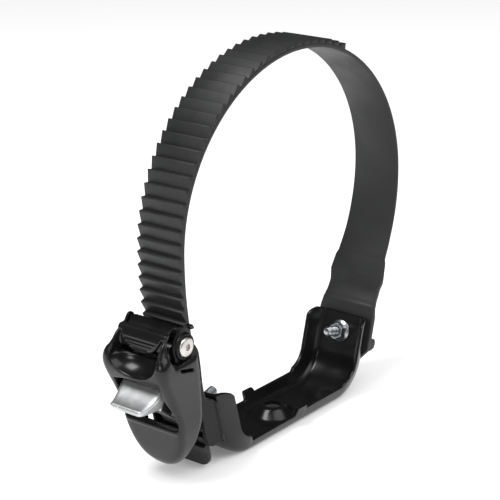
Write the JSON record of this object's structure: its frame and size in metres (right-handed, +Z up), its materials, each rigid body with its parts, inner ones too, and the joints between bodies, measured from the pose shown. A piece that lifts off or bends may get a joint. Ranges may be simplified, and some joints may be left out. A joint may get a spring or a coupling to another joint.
{
  "type": "ratchet strap clamp",
  "caption": "Ratcheting ladder-strap clamp: a toothed strap loop on a stamped steel saddle, tightened by a hinged buckle lever with a spring release tab.",
  "frame": {"origin": "middle of the whole clamp's plan, on the surface that the saddle stands on", "axes": "+Z up, +X from the buckle towards the bolted end of the strap, +Y across the strap's width"},
  "size_m": [0.2049, 0.0386, 0.1965],
  "materials": {
    "black_steel": "gloss black powder coat",
    "strap_plastic": "satin moulded",
    "lever_plastic": "satin to gloss moulded",
    "silver": "satin silver, lightly brushed",
    "zinc": "bright zinc plate",
    "spring_steel": "plain spring steel"
  },
  "bodies": {
    "base": {"saddle": "black_steel", "strap": "strap_plastic", "strap_bolt": "zinc", "strap_nut": "zinc", "strap_washer": "zinc", "buckle_bolt": "zinc", "buckle_nut": "zinc", "buckle_frame": "black_steel", "hinge_tube": "zinc", "hinge_screw_near": "zinc", "hinge_screw_far": "zinc", "guide_bar": "black_steel", "release_pin": "zinc", "release_spring": "spring_steel"},
    "lever": {"lever": "lever_plastic", "drive_pawl_pin": "zinc", "drive_pawl_spring": "spring_steel"},
    "release_lever": {"release_lever": "silver"},
    "drive_pawl": {"drive_pawl": "spring_steel"}
  },
  "joints": [
    {"name": "lever_hinge", "type": "hinge", "parent": "base", "child": "lever", "pos_m": [-0.07958, 0, 0.0722], "axis": [0, 1, 0], "range_deg": [0, 64]},
    {"name": "release_hinge", "type": "hinge", "parent": "base", "child": "release_lever", "pos_m": [-0.07677, 0, 0.0368], "axis": [0, -1, 0], "range_deg": [0, 12], "stiffness_Nm_per_rad": 0.05, "springref_deg": -11.46},
    {"name": "drive_pawl_hinge", "type": "hinge", "parent": "lever", "child": "drive_pawl", "pos_m": [-0.08107, 0, 0.0624], "axis": [0, 1, 0], "range_deg": [0, 18], "stiffness_Nm_per_rad": 0.02, "springref_deg": -11.46}
  ]
}
